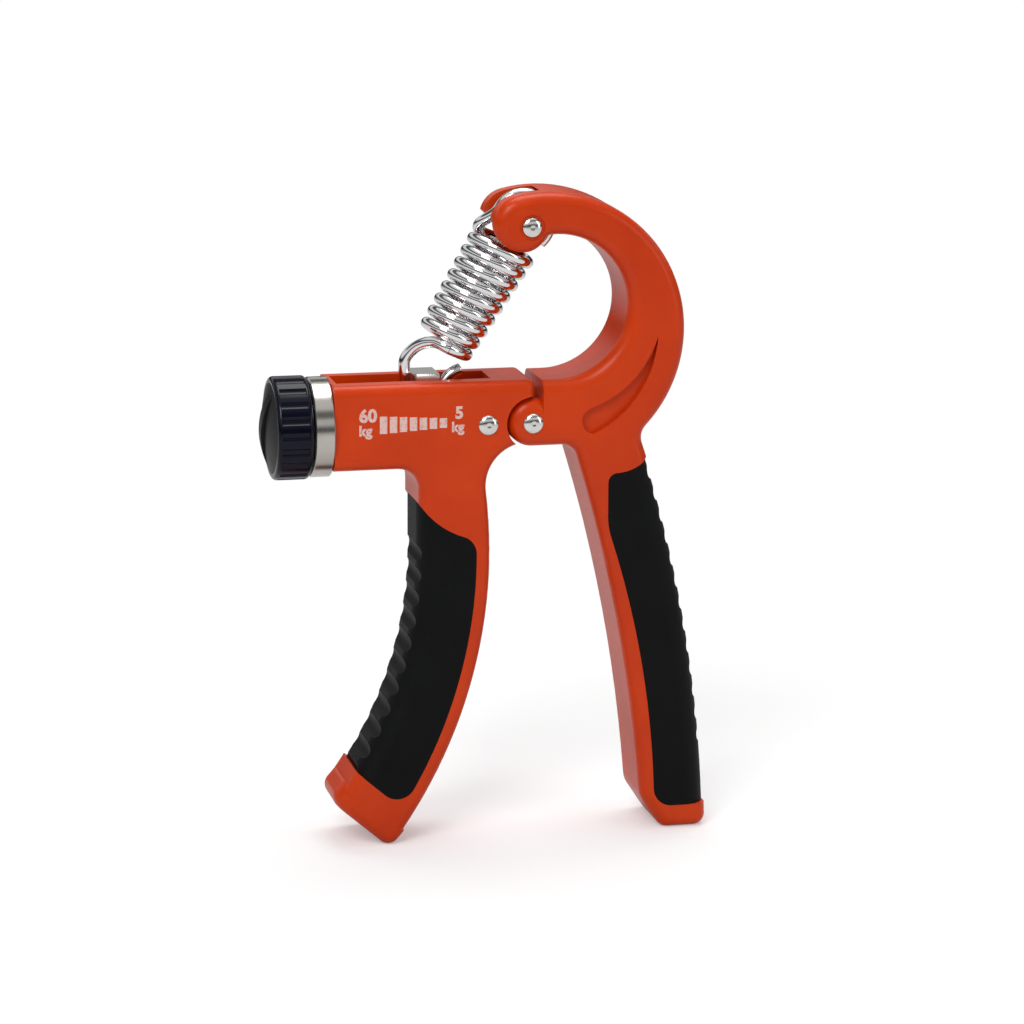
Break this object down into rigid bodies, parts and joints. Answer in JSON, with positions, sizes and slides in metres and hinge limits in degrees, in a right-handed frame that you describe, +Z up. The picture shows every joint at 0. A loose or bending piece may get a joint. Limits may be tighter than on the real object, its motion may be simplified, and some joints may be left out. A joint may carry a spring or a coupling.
{
  "type": "hand grip exerciser",
  "caption": "Adjustable R-shaped hand gripper: two hinged rubber-clad handles, a C-shaped arm, a tension spring and a knob that moves its hook along a force scale.",
  "frame": {"origin": "bottom centre of the overall bounding box, on the middle plane of the handles' thickness", "axes": "+X along the beam from the knob towards the C-shaped arm, +Y from the printed front to the back, +Z up from the handle ends to the arm"},
  "size_m": [0.1062, 0.0242, 0.154],
  "materials": {
    "orange_plastic": "satin moulded",
    "black_rubber": "soft satin",
    "rivet_steel": "polished",
    "zinc_steel": "zinc plated",
    "nut_steel": "machined",
    "brushed_ring": "brushed",
    "chrome_spring": "polished",
    "knob_plastic": "gloss",
    "cap_plastic": "matte",
    "black_nylon": "matte",
    "white_ink": "printed"
  },
  "bodies": {
    "root": {"left_body": "orange_plastic", "left_grip": "black_rubber", "hinge_plate": "zinc_steel", "fixing_rivet": "rivet_steel", "fixing_rivet_cap": "rivet_steel", "end_bearing": "black_nylon", "end_ring": "brushed_ring", "scale_print": "white_ink"},
    "arm": {"right_body": "orange_plastic", "right_grip": "black_rubber", "hinge_rivet": "rivet_steel", "hinge_rivet_cap": "rivet_steel", "hinge_washers": "zinc_steel", "arm_rivet": "rivet_steel", "arm_rivet_cap": "rivet_steel"},
    "knob": {"knob": "knob_plastic", "knob_cap": "cap_plastic", "knob_screw": "zinc_steel", "thrust_washer": "zinc_steel", "lead_screw": "zinc_steel", "screw_collar": "zinc_steel", "screw_clip": "zinc_steel"},
    "nut": {"travelling_nut": "nut_steel"},
    "bush": {"hook_bush": "black_nylon"},
    "spring_top": {"spring_upper_hook": "chrome_spring"},
    "spring_mid": {"spring_coil": "chrome_spring"},
    "spring_low": {"spring_lower_hook": "chrome_spring"}
  },
  "joints": [
    {"name": "squeeze", "type": "hinge", "parent": "root", "child": "arm", "pos_m": [0.00975, 0, 0.1002], "axis": [0, 1, 0], "range_deg": [0, 28], "stiffness_Nm_per_rad": 18},
    {"name": "knob_turn", "type": "hinge", "parent": "root", "child": "knob", "pos_m": [-0.04025, 0, 0.0995], "axis": [-1, 0, 0], "range_deg": [-4140, 900]},
    {"name": "nut_travel", "type": "slide", "parent": "root", "child": "nut", "axis": [1, 0, 0], "range_m": [-0.01153, 0.00253]},
    {"name": "bush_swing", "type": "hinge", "parent": "arm", "child": "bush", "pos_m": [0.00924, 0, 0.1461], "axis": [0, 1, 0], "range_deg": [-6.07, 0.01]},
    {"name": "spring_swing", "type": "hinge", "parent": "bush", "child": "spring_top", "pos_m": [0.00924, 0, 0.1461], "axis": [0, 1, 0], "range_deg": [-2.4, 10.95]},
    {"name": "coil_stretch", "type": "slide", "parent": "spring_top", "child": "spring_mid", "axis": [-0.5068, 0, -0.862], "range_m": [-0.00002, 0.01066], "deforming": ["spring_coil"]},
    {"name": "hook_follow", "type": "slide", "parent": "spring_mid", "child": "spring_low", "axis": [-0.5068, 0, -0.862], "range_m": [-0.00144, 0.00657], "deforming": ["spring_lower_hook"]}
  ],
  "couplings": [
    {"joint": "nut_travel", "follows": "knob_turn", "m_per_rad": 0.00015915},
    {"joint": "bush_swing", "follows": "squeeze", "ratio": -0.21623},
    {"joint": "spring_swing", "follows": "knob_turn", "ratio": -0.002639},
    {"joint": "coil_stretch", "follows": "squeeze", "m_per_rad": 0.021769},
    {"joint": "hook_follow", "follows": "knob_turn", "m_per_rad": -0.000090718}
  ]
}
